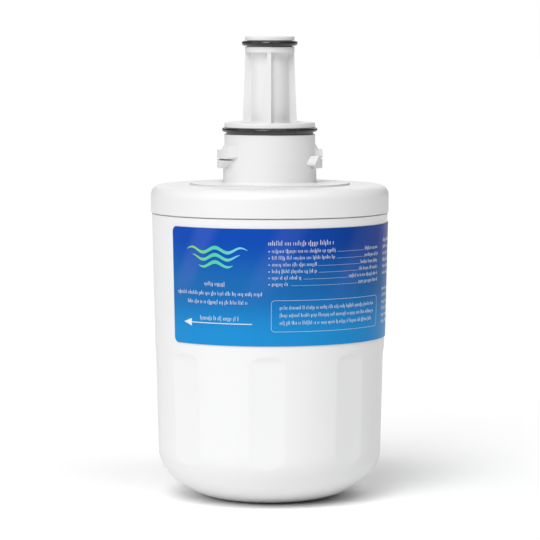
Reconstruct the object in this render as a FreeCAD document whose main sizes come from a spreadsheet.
import FreeCAD, Part
import math
import os
import re

import Sketcher

# Fridge water filter cartridge, twist-lock type.
# Origin at the middle of the base, +Z up along the axis, -Y towards the viewer.

# Driving sizes in millimetres and degrees
SIZES = {
    # moulded cup with its grip flats
    "body_height": 100.8,
    "body_radius": 41.6,
    "draft_angle": 1.35,
    "body_wall": 2.6,
    "base_flat_radius": 15.0,
    "corner_side_radius": 15.0,
    "corner_lift": 3.92,
    "flat_count": 8,
    "flat_depth": 0.5,
    "flat_margin": 4.3,
    "flat_scoop_radius": 44.0,
    "flat_run_out": 5.0,
    # ribs on the floor of the cup that carry the filter element
    "rest_height": 12.0,
    "rest_rib_count": 6,
    "rest_rib_inner": 6.0,
    "rest_rib_setback": 1.0,
    "rest_rib_thickness": 2.0,
    "rib_root": 0.4,
    # weld lip on the rim of the cup, and the lid that takes it
    "lip_height": 2.4,
    "lip_wall": 1.2,
    "lip_inset": 0.3,
    "lip_root": 0.4,
    "weld_clearance": 0.1,
    "seam_gap": 0.35,
    "lid_overhang": 0.4,
    "lid_height": 9.65,
    "lid_top_wall": 2.8,
    "lid_edge_radius": 3.6,
    "lid_seam_radius": 0.3,
    # flange and raised disc of the connector
    "disc_radius": 28.25,
    "disc_rise": 0.7,
    "disc_clearance": 0.08,
    "flange_overlap": 3.2,
    "flange_thickness": 2.6,
    # neck and its seal
    "neck_height": 21.2,
    "neck_radius": 16.0,
    "neck_foot_radius": 16.45,
    "neck_wall": 3.0,
    "neck_roof": 2.5,
    "neck_lip": 1.7,
    "neck_groove_width": 2.4,
    "neck_ring_section": 1.5,
    "neck_ring_stand": 0.85,
    "ring_seat": 0.03,
    "ring_rest": 0.15,
    # two bayonet lugs, each a hook around a narrow slot
    "lug_count": 2,
    "lug_lift": 5.2,
    "lug_radius": 18.6,
    "lug_block_height": 6.4,
    "lug_gusset_height": 1.65,
    "lug_gusset_reach": 0.9,
    "lug_nose_reach": 9.0,
    "lug_nose_foot": 1.4,
    "lug_nose_top": 2.2,
    "lug_nose_run": 4.0,
    "lug_ramp_reach": 6.6,
    "lug_ramp_height": 4.4,
    "lug_block_front": 2.7,
    "lug_tail_reach": 12.0,
    "lug_tail_height": 4.1,
    "lug_tail_run": 5.8,
    "slot_lift": 2.85,
    "slot_height": 0.65,
    "slot_lead_angle": 15.5,
    "slot_sweep_angle": 80.0,
    # ribbed outlet plug and its seal
    "plug_height": 30.2,
    "plug_ring_height": 5.6,
    "plug_ring_radius": 8.72,
    "plug_lip": 1.4,
    "plug_groove_width": 2.2,
    "plug_ring_section": 1.8,
    "plug_ring_stand": 1.12,
    "core_top_radius": 6.57,
    "core_foot_radius": 6.87,
    "rib_count": 4,
    "rib_thickness": 1.45,
    "rib_top_radius": 8.57,
    "rib_foot_radius": 9.58,
    "outlet_radius": 4.4,
    # four inlet ports around the foot of the plug
    "port_count": 4,
    "port_outer_radius": 11.6,
    "port_angle": 52.0,
    # socket in the connector and spigot of the filter element
    "socket_radius": 6.0,
    "tube_wall": 1.8,
    "tube_drop": 4.0,
    "spigot_length": 12.0,
    "spigot_clearance": 0.15,
    "spigot_bore_radius": 3.2,
    "spigot_ring_section": 1.5,
    "spigot_groove_width": 1.8,
    "spigot_lip": 2.6,
    "socket_end_gap": 1.0,
    # filter element
    "feed_gap": 1.1,
    "block_bore_radius": 7.0,
    "wrap_thickness": 1.5,
    "cap_plate": 2.8,
    "cap_rim_depth": 6.0,
    "cap_rim_wall": 1.6,
    "cap_clearance": 0.15,
    "boss_height": 3.0,
    "boss_radius": 8.6,
    "stud_height": 4.0,
    # wrap label
    "label_drop": 3.06,
    "label_height": 40.2,
    "label_length": 140.0,
    "label_lead_angle": 52.1,
    "label_film": 0.15,
    "label_bond": 0.12,
    "label_corner": 2.0,
    # small moulded edge rounds
    "edge_round": 0.4,
    "shoulder_round": 0.25,
    "foot_round": 0.6,
    # reach of a cut past the piece that it trims
    "cut_margin": 1.0,
}


def wall_at(level):
    """Radius of the drafted wall of the cup at a level."""
    return f"(body_radius - (body_height - ({level})) * tan(draft_angle))"


# Levels and radii worked out from the driving sizes
DERIVED = {
    "corner_level": "corner_side_radius + corner_lift",
    "corner_centre": wall_at("corner_level") + " - corner_side_radius / cos(draft_angle)",
    "corner_reach": "corner_centre - base_flat_radius",
    "corner_rise": "(corner_reach ^ 2 + corner_lift ^ 2) / (2 * corner_lift)",
    "corner_base_radius": "corner_side_radius + corner_rise",
    "rest_rib_outer": "base_flat_radius - rest_rib_setback",
    "lid_radius": "body_radius + lid_overhang",
    "lid_foot": "body_height + seam_gap",
    "lid_seat": "body_height + lip_height",
    "lid_top": "lid_foot + lid_height",
    "lid_ceiling": "lid_top - lid_top_wall",
    "lip_inner": "body_radius - body_wall + lip_inset",
    "lip_outer": "lip_inner + lip_wall",
    "flange_radius": "disc_radius + flange_overlap",
    "flange_foot": "lid_ceiling - flange_thickness",
    "tube_radius": "socket_radius + tube_wall",
    "tube_foot": "flange_foot - tube_drop",
    "disc_top": "lid_top + disc_rise",
    "passage_radius": "neck_radius - neck_wall",
    "lug_foot": "disc_top + lug_lift",
    "lug_top": "lug_foot + lug_block_height",
    "gusset_top": "lug_top + lug_gusset_height",
    "neck_top": "disc_top + neck_height",
    "passage_roof": "neck_top - neck_roof",
    "neck_groove_top": "neck_top - neck_lip",
    "neck_groove_foot": "neck_groove_top - neck_groove_width",
    "neck_ring_outer": "neck_radius + neck_ring_stand",
    "neck_groove_floor": "neck_ring_outer - neck_ring_section - ring_seat",
    "neck_ring_level": "neck_groove_top - ring_rest - neck_ring_section / 2",
    "plug_top": "neck_top + plug_height",
    "plug_ring_foot": "plug_top - plug_ring_height",
    "plug_groove_top": "plug_top - plug_lip",
    "plug_groove_foot": "plug_groove_top - plug_groove_width",
    "plug_ring_outer": "plug_ring_radius + plug_ring_stand",
    "plug_groove_floor": "plug_ring_outer - plug_ring_section - ring_seat",
    "plug_ring_level": "plug_groove_top - ring_rest - plug_ring_section / 2",
    "spigot_radius": "socket_radius - spigot_clearance",
    "spigot_top": "tube_foot + spigot_length",
    "socket_roof": "spigot_top + socket_end_gap",
    "spigot_groove_top": "spigot_top - spigot_lip",
    "spigot_groove_foot": "spigot_groove_top - spigot_groove_width",
    "spigot_ring_outer": "socket_radius - ring_seat",
    "spigot_groove_floor": "spigot_ring_outer - spigot_ring_section - ring_seat",
    "spigot_ring_level": "spigot_groove_top - ring_rest - spigot_ring_section / 2",
    "cap_top": "tube_foot - boss_height",
    "block_top": "cap_top - cap_plate",
    "block_foot": "rest_height + cap_plate",
    "rest_sag": "corner_level - rest_height",
    "rest_bore": "corner_centre + sqrt((corner_side_radius - body_wall) ^ 2 - rest_sag ^ 2)",
    "cap_radius": "rest_bore - feed_gap",
    "cap_bore": "cap_radius - cap_rim_wall",
    "wrap_radius": "cap_bore - cap_clearance",
    "block_radius": "wrap_radius - wrap_thickness",
    "label_top": "body_height - label_drop",
    "label_foot": "label_top - label_height",
    "flat_head": "label_foot - flat_margin",
    "flat_top": "flat_head - sqrt(flat_depth * (2 * flat_scoop_radius - flat_depth))",
}

TOLERANCE = 1e-4
START_OFFSET = 2.0

doc = FreeCAD.newDocument("WaterFilterCartridge")


def make_sheet():
    """Write the driving sizes into a sheet, one aliased cell each."""
    sheet = doc.addObject("Spreadsheet::Sheet", "Sizes")
    for row, (alias, value) in enumerate(SIZES.items(), start=1):
        sheet.set(f"A{row}", alias)
        sheet.set(f"B{row}", str(value))
        sheet.setAlias(f"B{row}", alias)
    doc.recompute()


def formula(text):
    """Turn words into references to the sheet, with every derived name written out."""

    def expand(match):
        word = match.group()
        if word in DERIVED:
            return "(" + formula(DERIVED[word]) + ")"
        if word in SIZES:
            return "Sizes." + word
        return word

    return re.sub(r"[a-z]\w*", expand, text)


def origin_feature(body, role):
    """Plane or axis of a body's own origin."""
    return next(item for item in body.Origin.OriginFeatures if item.Role == role)


def new_body(name):
    """Empty body whose label names the piece."""
    body = doc.addObject("PartDesign::Body", name)
    body.Label = name
    return body


def new_sketch(body, name, plane="XZ_Plane", turn=None):
    """Sketch on an origin plane, turned about the vertical axis if asked."""
    sketch = body.newObject("Sketcher::SketchObject", name)
    sketch.AttachmentSupport = [(origin_feature(body, plane), "")]
    sketch.MapMode = "FlatFace"
    if turn is not None:
        upright = FreeCAD.Rotation(FreeCAD.Vector(0, 1, 0), 1)
        sketch.AttachmentOffset = FreeCAD.Placement(FreeCAD.Vector(), upright)
        sketch.setExpression(".AttachmentOffset.Rotation.Angle", formula(turn))
    return sketch


def hold(sketch, kind, *terms, size, start=1.0):
    """Add a driving constraint at a starting value and tie it to the sheet."""
    index = sketch.addConstraint(Sketcher.Constraint(kind, *terms, start))
    sketch.setExpression(f"Constraints[{index}]", formula(size))


def outline(sketch, corners):
    """Closed outline of straight edges through corners given as pairs of formulas."""
    count = len(corners)
    # a regular polygon clear of both axes to start from, which the constraints then pull to size
    turns = [2 * math.pi * index / count for index in range(count)]
    middle = FreeCAD.Vector(START_OFFSET, START_OFFSET, 0)
    start = [middle + FreeCAD.Vector(math.cos(turn), math.sin(turn), 0) for turn in turns]
    for index in range(count):
        sketch.addGeometry(Part.LineSegment(start[index], start[(index + 1) % count]), False)
    for index in range(count):
        sketch.addConstraint(Sketcher.Constraint("Coincident", index, 2, (index + 1) % count, 1))
    for index, (across, up) in enumerate(corners):
        hold(sketch, "DistanceX", index, 1, size=across)
        hold(sketch, "DistanceY", index, 1, size=up)
    doc.recompute()
    return sketch


def revolve(body, name, sketch, angle=None, cut=False):
    """Sweep a sketch about the vertical axis, all the way round or by an angle."""
    feature = body.newObject("PartDesign::Groove" if cut else "PartDesign::Revolution", name)
    feature.Profile = sketch
    feature.ReferenceAxis = (sketch, ["V_Axis"])
    feature.Angle = 360.0
    if angle is not None:
        feature.setExpression("Angle", formula(angle))
    doc.recompute()
    return feature


def extrude(body, name, sketch, length, back=None, both_ways=False, cut=False):
    """Pad or pocket a sketch, to one side, evenly to both sides or by its own length on each side."""
    feature = body.newObject("PartDesign::Pocket" if cut else "PartDesign::Pad", name)
    feature.Profile = sketch
    feature.setExpression("Length", formula(length))
    feature.SideType = "Symmetric" if both_ways else "One side"
    if back is not None:
        feature.SideType = "Two sides"
        feature.setExpression("Length2", formula(back))
    doc.recompute()
    return feature


def ring_of(body, name, features, count):
    """Repeat features evenly about the vertical axis."""
    pattern = body.newObject("PartDesign::PolarPattern", name)
    pattern.Originals = features
    pattern.Axis = (origin_feature(body, "Z_Axis"), [""])
    pattern.Angle = 360.0
    pattern.setExpression("Occurrences", formula(count))
    body.Tip = pattern
    doc.recompute()
    return pattern


def fillet(body, name, edges, radius):
    """Round the numbered edges of the body as it stands."""
    base = body.Tip
    feature = body.newObject("PartDesign::Fillet", name)
    feature.Base = (base, [f"Edge{number}" for number in edges])
    feature.setExpression("Radius", formula(radius))
    body.Tip = feature
    doc.recompute()
    return feature


def swept_edges(body, sketch, corners, picked):
    """Numbers of the circular edges that the picked corners of an outline swept out."""
    points = [sketch.Geometry[corners.index(corner)].StartPoint for corner in picked]
    found = []
    for number, edge in enumerate(body.Tip.Shape.Edges, start=1):
        if not isinstance(edge.Curve, Part.Circle):
            continue
        for point in points:
            same_radius = abs(edge.Curve.Radius - point.x) < TOLERANCE
            same_level = abs(edge.Curve.Center.z - point.y) < TOLERANCE
            if same_radius and same_level:
                found.append(number)
    return found


def removed_volume(body, before):
    """Stop if the last cut took nothing away."""
    if body.Tip.Shape.Volume >= before - TOLERANCE:
        raise RuntimeError(f"{body.Label}: the cut {body.Tip.Name} removed nothing")


def housing_body():
    """Moulded cup: drafted wall, rounded foot, grip flats, weld lip and floor ribs."""
    body = new_body("housing_body")
    sketch = new_sketch(body, "cup_outline")
    cup_outline(sketch)
    revolve(body, "cup", sketch)
    hollow_cup(body)
    grip_flats(body)
    lip = outline(new_sketch(body, "lip_outline"), [
        ("lip_inner", "body_height - lip_root"),
        ("lip_outer", "body_height - lip_root"),
        ("lip_outer", "lid_seat"),
        ("lip_inner", "lid_seat"),
    ])
    revolve(body, "weld_lip", lip)
    rib = outline(new_sketch(body, "rest_rib_outline"), [
        ("rest_rib_inner", "body_wall - rib_root"),
        ("rest_rib_outer", "body_wall - rib_root"),
        ("rest_rib_outer", "rest_height"),
        ("rest_rib_inner", "rest_height"),
    ])
    first = extrude(body, "rest_rib", rib, "rest_rib_thickness", both_ways=True)
    ring_of(body, "rest_ribs", [first], "rest_rib_count")
    return body


def cup_outline(sketch):
    """Half section of the filled cup, with two tangent arcs round its foot."""
    height = SIZES["body_height"]
    flat = SIZES["base_flat_radius"]
    side = SIZES["corner_side_radius"]
    lift = SIZES["corner_lift"]
    rim = SIZES["body_radius"]
    draft = math.radians(SIZES["draft_angle"])
    slope = math.tan(draft)
    # where the arcs start from, worked out as the sheet's formulas do it
    level = side + lift
    centre = rim - (height - level) * slope - side / math.cos(draft)
    reach = centre - flat
    base = side + (reach ** 2 + lift ** 2) / (2 * lift)
    lean = math.atan2(level - base, reach)
    upright = FreeCAD.Vector(0, 0, 1)
    base_circle = Part.Circle(FreeCAD.Vector(flat, base, 0), upright, base)
    side_circle = Part.Circle(FreeCAD.Vector(centre, level, 0), upright, side)
    foot_end = FreeCAD.Vector(centre + side * math.cos(draft), level - side * math.sin(draft), 0)
    rim_end = FreeCAD.Vector(rim, height, 0)
    axis_end = FreeCAD.Vector(0, height, 0)
    sketch.addGeometry(Part.LineSegment(FreeCAD.Vector(0, 0, 0), FreeCAD.Vector(flat, 0, 0)), False)
    sketch.addGeometry(Part.ArcOfCircle(base_circle, -math.pi / 2, lean), False)
    sketch.addGeometry(Part.ArcOfCircle(side_circle, lean, -draft), False)
    sketch.addGeometry(Part.LineSegment(foot_end, rim_end), False)
    sketch.addGeometry(Part.LineSegment(rim_end, axis_end), False)
    sketch.addGeometry(Part.LineSegment(axis_end, FreeCAD.Vector(0, 0, 0)), False)
    floor_line, base_arc, side_arc, wall_line, top_line, axis_line = range(6)
    for first, second in ((floor_line, base_arc), (base_arc, side_arc), (side_arc, wall_line)):
        sketch.addConstraint(Sketcher.Constraint("Tangent", first, 2, second, 1))
    for first, second in ((wall_line, top_line), (top_line, axis_line), (axis_line, floor_line)):
        sketch.addConstraint(Sketcher.Constraint("Coincident", first, 2, second, 1))
    sketch.addConstraint(Sketcher.Constraint("Coincident", floor_line, 1, -1, 1))
    sketch.addConstraint(Sketcher.Constraint("Horizontal", floor_line))
    sketch.addConstraint(Sketcher.Constraint("Horizontal", top_line))
    sketch.addConstraint(Sketcher.Constraint("PointOnObject", top_line, 2, -2))
    hold(sketch, "DistanceX", floor_line, 2, size="base_flat_radius", start=flat)
    hold(sketch, "Radius", base_arc, size="corner_base_radius", start=base)
    hold(sketch, "Radius", side_arc, size="corner_side_radius", start=side)
    hold(sketch, "DistanceX", wall_line, 2, size="body_radius", start=rim)
    hold(sketch, "DistanceY", wall_line, 2, size="body_height", start=height)
    hold(sketch, "Angle", wall_line, size="(90 - draft_angle) * 1 deg", start=math.pi / 2 - draft)
    doc.recompute()


def hollow_cup(body):
    """Shell the filled cup to its wall, open at the rim."""
    rim = [
        number
        for number, face in enumerate(body.Tip.Shape.Faces, start=1)
        if isinstance(face.Surface, Part.Plane) and face.CenterOfMass.z > TOLERANCE
    ]
    filled = body.Tip
    shell = body.newObject("PartDesign::Thickness", "cup_shell")
    shell.Base = (filled, [f"Face{number}" for number in rim])
    shell.setExpression("Value", formula("body_wall"))
    shell.Reversed = True
    shell.Mode = "Skin"
    shell.Join = "Intersection"
    body.Tip = shell
    doc.recompute()


def grip_flats(body):
    """Shallow flats round the lower wall, with a scooped head and a foot that runs out."""
    before = body.Tip.Shape.Volume
    sketch = new_sketch(body, "flat_outline")
    flat_outline(sketch)
    first = extrude(body, "flat", sketch, "body_radius", both_ways=True, cut=True)
    ring_of(body, "flats", [first], "flat_count")
    removed_volume(body, before)


def flat_outline(sketch):
    """Section of a grip flat: up along the wall at its depth, then scooped out through the wall."""
    depth = SIZES["flat_depth"]
    foot = SIZES["flat_run_out"]
    scoop = SIZES["flat_scoop_radius"]
    draft = math.radians(SIZES["draft_angle"])
    # where the lines and the scoop start from, worked out as the sheet's formulas do it
    head = SIZES["body_height"] - SIZES["label_drop"] - SIZES["label_height"] - SIZES["flat_margin"]
    top = head - math.sqrt(depth * (2 * scoop - depth))
    foot_wall = SIZES["body_radius"] - (SIZES["body_height"] - foot) * math.tan(draft)
    top_wall = SIZES["body_radius"] - (SIZES["body_height"] - top) * math.tan(draft)
    outside = top_wall + SIZES["cut_margin"]
    foot_end = FreeCAD.Vector(foot_wall - depth, foot, 0)
    top_end = FreeCAD.Vector(top_wall - depth, top, 0)
    centre = top_end + FreeCAD.Vector(scoop * math.cos(draft), -scoop * math.sin(draft), 0)
    turn = math.acos((outside - centre.x) / scoop)
    scoop_circle = Part.Circle(centre, FreeCAD.Vector(0, 0, 1), scoop)
    scoop_end = FreeCAD.Vector(outside, centre.y + scoop * math.sin(turn), 0)
    outer_foot = FreeCAD.Vector(outside, foot, 0)
    sketch.addGeometry(Part.LineSegment(foot_end, top_end), False)
    sketch.addGeometry(Part.ArcOfCircle(scoop_circle, turn, math.pi - draft), False)
    sketch.addGeometry(Part.LineSegment(scoop_end, outer_foot), False)
    sketch.addGeometry(Part.LineSegment(outer_foot, foot_end), False)
    flat_line, scoop_arc, outer_line, foot_line = range(4)
    sketch.addConstraint(Sketcher.Constraint("Tangent", flat_line, 2, scoop_arc, 2))
    sketch.addConstraint(Sketcher.Constraint("Coincident", scoop_arc, 1, outer_line, 1))
    sketch.addConstraint(Sketcher.Constraint("Coincident", outer_line, 2, foot_line, 1))
    sketch.addConstraint(Sketcher.Constraint("Coincident", foot_line, 2, flat_line, 1))
    sketch.addConstraint(Sketcher.Constraint("Vertical", outer_line))
    sketch.addConstraint(Sketcher.Constraint("Horizontal", foot_line))
    hold(sketch, "DistanceX", flat_line, 2, size=wall_at("flat_top") + " - flat_depth", start=top_end.x)
    hold(sketch, "DistanceY", flat_line, 2, size="flat_top", start=top)
    hold(sketch, "Angle", flat_line, size="(90 - draft_angle) * 1 deg", start=math.pi / 2 - draft)
    hold(sketch, "Radius", scoop_arc, size="flat_scoop_radius", start=scoop)
    hold(sketch, "DistanceX", outer_line, 1, size=wall_at("flat_top") + " + cut_margin", start=outside)
    hold(sketch, "DistanceY", outer_line, 2, size="flat_run_out", start=foot)
    doc.recompute()


def housing_lid():
    """Lid that drops over the weld lip, with a round opening for the connector."""
    body = new_body("housing_lid")
    top_edge = ("lid_radius", "lid_top")
    seam_edge = ("lid_radius", "lid_foot")
    corners = [
        ("lip_outer + weld_clearance", "lid_foot"),
        seam_edge,
        top_edge,
        ("disc_radius + disc_clearance", "lid_top"),
        ("disc_radius + disc_clearance", "lid_ceiling"),
        ("lip_inner", "lid_ceiling"),
        ("lip_inner", "lid_seat"),
        ("lip_outer + weld_clearance", "lid_seat"),
    ]
    sketch = outline(new_sketch(body, "lid_outline"), corners)
    revolve(body, "lid", sketch)
    fillet(body, "lid_edge", swept_edges(body, sketch, corners, [top_edge]), "lid_edge_radius")
    fillet(body, "lid_seam", swept_edges(body, sketch, corners, [seam_edge]), "lid_seam_radius")
    return body


def connector_neck():
    """Connector: flange, raised disc, neck with bayonet lugs, and the ribbed outlet plug."""
    body = new_body("connector_neck")
    neck_foot = ("neck_foot_radius", "disc_top")
    disc_edge = ("disc_radius", "disc_top")
    neck_edge = ("neck_radius", "neck_top")
    neck_shoulder = ("neck_radius", "neck_groove_foot")
    plug_edge = ("plug_ring_radius", "plug_top")
    plug_shoulder = ("plug_ring_radius", "plug_groove_foot")
    corners = [
        ("0", "tube_foot"),
        ("tube_radius", "tube_foot"),
        ("tube_radius", "flange_foot"),
        ("flange_radius", "flange_foot"),
        ("flange_radius", "lid_ceiling"),
        ("disc_radius", "lid_ceiling"),
        disc_edge,
        neck_foot,
        ("neck_foot_radius", "lug_foot"),
        ("neck_radius", "lug_foot"),
        neck_shoulder,
        ("neck_groove_floor", "neck_groove_foot"),
        ("neck_groove_floor", "neck_groove_top"),
        ("neck_radius", "neck_groove_top"),
        neck_edge,
        ("core_foot_radius", "neck_top"),
        ("core_top_radius", "plug_ring_foot"),
        ("plug_ring_radius", "plug_ring_foot"),
        plug_shoulder,
        ("plug_groove_floor", "plug_groove_foot"),
        ("plug_groove_floor", "plug_groove_top"),
        ("plug_ring_radius", "plug_groove_top"),
        plug_edge,
        ("0", "plug_top"),
    ]
    sketch = outline(new_sketch(body, "connector_outline"), corners)
    revolve(body, "connector", sketch)
    rims = swept_edges(body, sketch, corners, [disc_edge, neck_edge, plug_edge])
    fillet(body, "rim_rounds", rims, "edge_round")
    shoulders = swept_edges(body, sketch, corners, [neck_shoulder, plug_shoulder])
    fillet(body, "shoulder_rounds", shoulders, "shoulder_round")
    foot = swept_edges(body, sketch, corners, [neck_foot])
    fillet(body, "neck_foot_round", foot, "foot_round")
    bayonet_lugs(body)
    water_ways(body)
    plug_ribs(body)
    return body


def bayonet_lugs(body):
    """Two hooked lugs, shaped along the radius, trimmed round and slotted from one end."""
    side = outline(new_sketch(body, "lug_outline", plane="YZ_Plane"), [
        ("-(lug_nose_reach - lug_nose_run)", "lug_foot"),
        ("lug_tail_reach - lug_tail_run", "lug_foot"),
        ("lug_tail_reach", "lug_foot + lug_tail_height"),
        ("lug_tail_reach", "lug_top"),
        ("-lug_block_front", "lug_top"),
        ("-lug_block_front", "lug_foot + lug_ramp_height"),
        ("-lug_ramp_reach", "lug_foot + lug_ramp_height"),
        ("-lug_nose_reach", "lug_foot + lug_nose_top"),
        ("-lug_nose_reach", "lug_foot + lug_nose_foot"),
    ])
    lug = extrude(body, "lug", side, "lug_radius + cut_margin")
    brace = outline(new_sketch(body, "gusset_outline"), [
        ("tube_radius", "lug_top"),
        ("neck_radius + lug_gusset_reach", "lug_top"),
        ("neck_radius", "gusset_top"),
        ("tube_radius", "gusset_top"),
    ])
    gusset = extrude(body, "gusset", brace, "lug_block_front", back="lug_tail_reach")
    ring_of(body, "lugs", [lug, gusset], "lug_count")
    before = body.Tip.Shape.Volume
    outside = "lug_radius + lug_tail_reach"
    trim = outline(new_sketch(body, "lug_trim_outline"), [
        ("lug_radius", "lug_foot - cut_margin"),
        (outside, "lug_foot - cut_margin"),
        (outside, "gusset_top + cut_margin"),
        ("lug_radius", "gusset_top + cut_margin"),
    ])
    revolve(body, "lug_trim", trim, cut=True)
    removed_volume(body, before)
    before = body.Tip.Shape.Volume
    gap = outline(new_sketch(body, "slot_outline", turn="-slot_lead_angle"), [
        ("neck_radius", "lug_foot + slot_lift"),
        (outside, "lug_foot + slot_lift"),
        (outside, "lug_foot + slot_lift + slot_height"),
        ("neck_radius", "lug_foot + slot_lift + slot_height"),
    ])
    slot = revolve(body, "slot", gap, angle="slot_sweep_angle", cut=True)
    ring_of(body, "slots", [slot], "lug_count")
    removed_volume(body, before)


def water_ways(body):
    """Ring passage for the inlet, its ports in the neck roof, and the outlet bore with its socket."""
    before = body.Tip.Shape.Volume
    passage = outline(new_sketch(body, "passage_outline"), [
        ("tube_radius", "tube_foot - cut_margin"),
        ("passage_radius", "tube_foot - cut_margin"),
        ("passage_radius", "passage_roof"),
        ("tube_radius", "passage_roof"),
    ])
    revolve(body, "passage", passage, cut=True)
    bore = outline(new_sketch(body, "outlet_outline"), [
        ("0", "tube_foot - cut_margin"),
        ("socket_radius", "tube_foot - cut_margin"),
        ("socket_radius", "socket_roof"),
        ("outlet_radius", "socket_roof"),
        ("outlet_radius", "plug_top + cut_margin"),
        ("0", "plug_top + cut_margin"),
    ])
    revolve(body, "outlet", bore, cut=True)
    port = outline(new_sketch(body, "port_outline", turn="180 / port_count - port_angle / 2"), [
        ("tube_radius", "passage_roof - cut_margin"),
        ("port_outer_radius", "passage_roof - cut_margin"),
        ("port_outer_radius", "neck_top + cut_margin"),
        ("tube_radius", "neck_top + cut_margin"),
    ])
    first = revolve(body, "port", port, angle="port_angle", cut=True)
    ring_of(body, "ports", [first], "port_count")
    removed_volume(body, before)


def plug_ribs(body):
    """Tapered ribs from the neck up to the sealing ring of the plug."""
    rib = outline(new_sketch(body, "plug_rib_outline"), [
        ("core_top_radius - rib_root", "neck_top - rib_root"),
        ("rib_foot_radius", "neck_top - rib_root"),
        ("rib_foot_radius", "neck_top"),
        ("rib_top_radius", "plug_ring_foot"),
        ("core_top_radius - rib_root", "plug_ring_foot"),
    ])
    first = extrude(body, "plug_rib", rib, "rib_thickness", both_ways=True)
    ring_of(body, "plug_ribs", [first], "rib_count")


def seal_ring(name, outer, section, level):
    """Round seal lying flat at a level."""
    ring = doc.addObject("Part::Torus", name)
    ring.Label = name
    ring.setExpression("Radius1", formula(f"{outer} - {section} / 2"))
    ring.setExpression("Radius2", formula(f"{section} / 2"))
    ring.setExpression("Placement.Base.z", formula(level))
    return ring


def turned_piece(name, corners):
    """Plain piece swept all the way round from one outline."""
    body = new_body(name)
    sketch = outline(new_sketch(body, name + "_outline"), corners)
    revolve(body, name + "_turned", sketch)
    return body


def filter_element():
    """Carbon block in its fleece, between two end caps, with a sealed spigot on top."""
    upper = turned_piece("upper_end_cap", [
        ("spigot_bore_radius", "block_top"),
        ("cap_bore", "block_top"),
        ("cap_bore", "block_top - cap_rim_depth"),
        ("cap_radius", "block_top - cap_rim_depth"),
        ("cap_radius", "cap_top"),
        ("boss_radius", "cap_top"),
        ("boss_radius", "tube_foot"),
        ("spigot_radius", "tube_foot"),
        ("spigot_radius", "spigot_groove_foot"),
        ("spigot_groove_floor", "spigot_groove_foot"),
        ("spigot_groove_floor", "spigot_groove_top"),
        ("spigot_radius", "spigot_groove_top"),
        ("spigot_radius", "spigot_top"),
        ("spigot_bore_radius", "spigot_top"),
    ])
    lower = turned_piece("lower_end_cap", [
        ("0", "rest_height"),
        ("cap_radius", "rest_height"),
        ("cap_radius", "block_foot + cap_rim_depth"),
        ("cap_bore", "block_foot + cap_rim_depth"),
        ("cap_bore", "block_foot"),
        ("block_bore_radius - cap_clearance", "block_foot"),
        ("block_bore_radius - cap_clearance", "block_foot + stud_height"),
        ("0", "block_foot + stud_height"),
    ])
    block = turned_piece("carbon_block", [
        ("block_bore_radius", "block_foot"),
        ("block_radius", "block_foot"),
        ("block_radius", "block_top"),
        ("block_bore_radius", "block_top"),
    ])
    wrap = turned_piece("fleece_wrap", [
        ("block_radius", "block_foot"),
        ("wrap_radius", "block_foot"),
        ("wrap_radius", "block_top"),
        ("block_radius", "block_top"),
    ])
    return [upper, lower, block, wrap]


def wrap_label():
    """Film label round part of the wall, with rounded corners."""
    body = new_body("label")
    low = wall_at("label_foot") + " + label_bond"
    high = wall_at("label_top") + " + label_bond"
    sketch = outline(new_sketch(body, "label_outline", turn="270 - label_lead_angle"), [
        (low, "label_foot"),
        (low + " + label_film", "label_foot"),
        (high + " + label_film", "label_top"),
        (high, "label_top"),
    ])
    middle = wall_at("label_foot + label_height / 2")
    revolve(body, "film", sketch, angle=f"label_length / {middle} * 180 / pi")
    film = SIZES["label_film"]
    corners = [
        number
        for number, edge in enumerate(body.Tip.Shape.Edges, start=1)
        if isinstance(edge.Curve, Part.Line) and abs(edge.Length - film) < TOLERANCE
    ]
    fillet(body, "film_corners", corners, "label_corner")
    return body


def check_and_write(pieces):
    """Write one file a piece, once every object has built and every shape is sound."""
    doc.recompute()
    for item in doc.Objects:
        if "Invalid" in item.State or "Error" in item.State:
            raise RuntimeError(f"{item.Label} failed to build: {item.State}")
    for piece in pieces:
        if piece.Shape.isNull() or not piece.Shape.isValid():
            raise RuntimeError(f"{piece.Label} has no sound shape")
        if len(piece.Shape.Solids) != 1:
            raise RuntimeError(f"{piece.Label} has {len(piece.Shape.Solids)} solids")
    os.makedirs("parts", exist_ok=True)
    for piece in pieces:
        path = f"parts/{piece.Label}.step"
        piece.Shape.exportStep(path)
        if not Part.read(path).isValid():
            raise RuntimeError(f"{piece.Label} isn't sound when it is read back")


def main():
    make_sheet()
    pieces = [
        housing_body(),
        housing_lid(),
        connector_neck(),
        seal_ring("neck_o_ring", "neck_ring_outer", "neck_ring_section", "neck_ring_level"),
        seal_ring("outlet_o_ring", "plug_ring_outer", "plug_ring_section", "plug_ring_level"),
        seal_ring("spigot_o_ring", "spigot_ring_outer", "spigot_ring_section", "spigot_ring_level"),
        *filter_element(),
        wrap_label(),
    ]
    check_and_write(pieces)


main()
